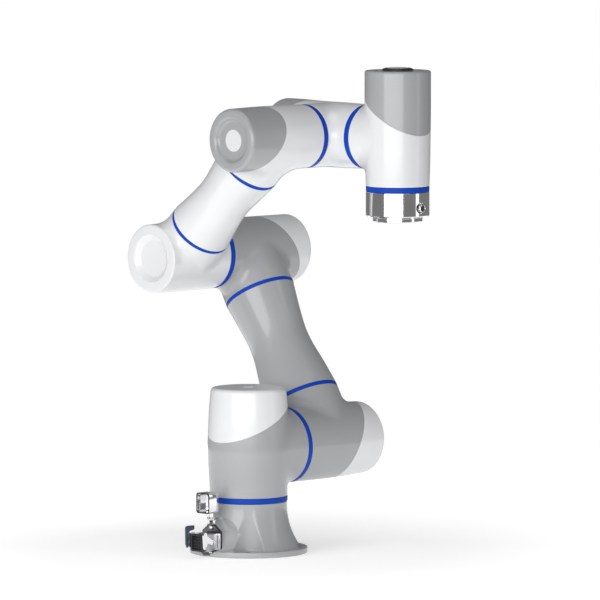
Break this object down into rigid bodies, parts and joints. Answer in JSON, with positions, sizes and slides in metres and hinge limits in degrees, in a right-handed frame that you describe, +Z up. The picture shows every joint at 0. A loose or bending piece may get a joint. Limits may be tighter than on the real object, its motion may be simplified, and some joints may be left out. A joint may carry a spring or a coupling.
{
  "type": "collaborative robot arm",
  "caption": "Jointed collaborative robot arm on a round bolt-down base, with rotary joints from the base to the tool flange, a side connector and a wrist button.",
  "frame": {"origin": "centre of the base's mounting face, on the first joint's axis", "axes": "+Z up along the first joint's axis; +Y along the shoulder, elbow and first wrist axes; +X forward, towards the tool side"},
  "size_m": [0.3712, 0.309, 0.6183],
  "materials": {
    "grey_paint": "satin painted casting",
    "white_cap": "gloss painted cast cap",
    "white_paint": "gloss painted casting",
    "blue_ring": "satin elastomer seal ring",
    "polished_flange": "bright turned",
    "chrome_trim": "bright plated",
    "cast_zinc": "plated die casting",
    "black_plastic": "moulded",
    "screw_steel": "blackened",
    "dark_lever": "moulded",
    "pale_button": "smooth",
    "winding": "varnished winding and laminations",
    "board": "circuit board",
    "drive_steel": "ground"
  },
  "bodies": {
    "base": {"base_casting": "grey_paint", "connector_plate": "cast_zinc", "connector_screws": "screw_steel", "connector_housing": "cast_zinc", "connector_insert": "black_plastic"},
    "connector_cover": {"connector_cover": "chrome_trim"},
    "near_lever": {"lever_near": "chrome_trim"},
    "far_lever": {"lever_far": "dark_lever"},
    "shoulder": {"shoulder_housing": "grey_paint", "shoulder_cap": "white_cap", "j1_ring": "blue_ring", "j1_reducer": "drive_steel", "j1_stator": "winding", "j1_board": "board"},
    "upper_arm": {"upper_arm_lower_housing": "grey_paint", "upper_arm_lower_cap": "white_cap", "upper_arm_tube": "grey_paint", "upper_arm_rings": "blue_ring", "upper_arm_elbow_housing": "grey_paint", "upper_arm_elbow_cap": "white_cap", "j2_ring": "blue_ring", "j2_reducer": "drive_steel", "j2_stator": "winding", "j2_board": "board", "j3_ring": "blue_ring", "j3_reducer": "drive_steel", "j3_stator": "winding", "j3_board": "board"},
    "forearm": {"forearm_elbow_housing": "white_paint", "forearm_elbow_cap": "white_paint", "forearm_tube": "white_paint", "forearm_rings": "blue_ring", "forearm_wrist_housing": "white_paint", "forearm_wrist_cap": "grey_paint", "j4_ring": "blue_ring", "j4_reducer": "drive_steel", "j4_stator": "winding", "j4_board": "board"},
    "wrist_1": {"wrist1_housing": "white_paint", "wrist1_cap": "grey_paint", "j5_ring": "blue_ring", "j5_reducer": "drive_steel", "j5_stator": "winding", "j5_board": "board"},
    "wrist_2": {"wrist2_housing": "white_paint", "wrist2_cap": "grey_paint", "wrist_bezel": "black_plastic", "j6_ring": "blue_ring", "j6_reducer": "drive_steel", "j6_stator": "winding", "j6_board": "board"},
    "button": {"wrist_button": "pale_button"},
    "tool": {"tool_flange": "polished_flange", "tool_connector": "chrome_trim"},
    "rotor_1": {"j1_rotor": "drive_steel"},
    "rotor_2": {"j2_rotor": "drive_steel"},
    "rotor_3": {"j3_rotor": "drive_steel"},
    "rotor_4": {"j4_rotor": "drive_steel"},
    "rotor_5": {"j5_rotor": "drive_steel"},
    "rotor_6": {"j6_rotor": "drive_steel"}
  },
  "joints": [
    {"name": "j1_base", "type": "hinge", "parent": "base", "child": "shoulder", "pos_m": [0, 0, 0.1323], "axis": [0, 0, 1], "range_deg": [-360, 360]},
    {"name": "j2_shoulder", "type": "hinge", "parent": "shoulder", "child": "upper_arm", "pos_m": [0, 0, 0.1323], "axis": [0, 1, 0], "range_deg": [-360, 360]},
    {"name": "j3_elbow", "type": "hinge", "parent": "upper_arm", "child": "forearm", "pos_m": [-0.13865, 0.127, 0.36863], "axis": [0, 1, 0], "range_deg": [-215, 60]},
    {"name": "j4_wrist", "type": "hinge", "parent": "forearm", "child": "wrist_1", "pos_m": [0.02735, 0.124, 0.52782], "axis": [0, 1, 0], "range_deg": [-360, 360]},
    {"name": "j5_wrist", "type": "hinge", "parent": "wrist_1", "child": "wrist_2", "pos_m": [0.02735, 0.124, 0.52782], "axis": [1, 0, 0], "range_deg": [-360, 360]},
    {"name": "j6_tool", "type": "hinge", "parent": "wrist_2", "child": "tool", "pos_m": [0.14335, 0.124, 0.52782], "axis": [0, 0, -1], "range_deg": [-360, 360]},
    {"name": "rotor_1_spin", "type": "hinge", "parent": "shoulder", "child": "rotor_1", "pos_m": [0, 0, 0.1323], "axis": [0, 0, 1], "range_deg": [-36370, 36370]},
    {"name": "rotor_2_spin", "type": "hinge", "parent": "upper_arm", "child": "rotor_2", "pos_m": [0, 0, 0.1323], "axis": [0, 1, 0], "range_deg": [-36370, 36370]},
    {"name": "rotor_3_spin", "type": "hinge", "parent": "upper_arm", "child": "rotor_3", "pos_m": [-0.13865, 0.127, 0.36863], "axis": [0, 1, 0], "range_deg": [-21725, 21725]},
    {"name": "rotor_4_spin", "type": "hinge", "parent": "forearm", "child": "rotor_4", "pos_m": [0.02735, 0.124, 0.52782], "axis": [0, 1, 0], "range_deg": [-36370, 36370]},
    {"name": "rotor_5_spin", "type": "hinge", "parent": "wrist_1", "child": "rotor_5", "pos_m": [0.02735, 0.124, 0.52782], "axis": [1, 0, 0], "range_deg": [-36370, 36370]},
    {"name": "rotor_6_spin", "type": "hinge", "parent": "wrist_2", "child": "rotor_6", "pos_m": [0.14335, 0.124, 0.52782], "axis": [0, 0, -1], "range_deg": [-36370, 36370]},
    {"name": "cover_hinge", "type": "hinge", "parent": "base", "child": "connector_cover", "pos_m": [0, -0.0668, 0.0475], "axis": [1, 0, 0], "range_deg": [0, 90]},
    {"name": "near_lever_pivot", "type": "hinge", "parent": "base", "child": "near_lever", "pos_m": [0.0132, -0.077, 0.019], "axis": [-1, 0, 0], "range_deg": [0, 60]},
    {"name": "far_lever_pivot", "type": "hinge", "parent": "base", "child": "far_lever", "pos_m": [-0.0132, -0.077, 0.019], "axis": [-1, 0, 0], "range_deg": [0, 45]},
    {"name": "wrist_button_press", "type": "slide", "parent": "wrist_2", "child": "button", "axis": [0, 0, -1], "range_m": [0, 0.0012], "stiffness_N_per_m": 800, "springref_m": -0.0005}
  ],
  "couplings": [
    {"joint": "rotor_1_spin", "follows": "j1_base", "ratio": -101},
    {"joint": "rotor_2_spin", "follows": "j2_shoulder", "ratio": -101},
    {"joint": "rotor_3_spin", "follows": "j3_elbow", "ratio": -101},
    {"joint": "rotor_4_spin", "follows": "j4_wrist", "ratio": -101},
    {"joint": "rotor_5_spin", "follows": "j5_wrist", "ratio": -101},
    {"joint": "rotor_6_spin", "follows": "j6_tool", "ratio": -101}
  ]
}
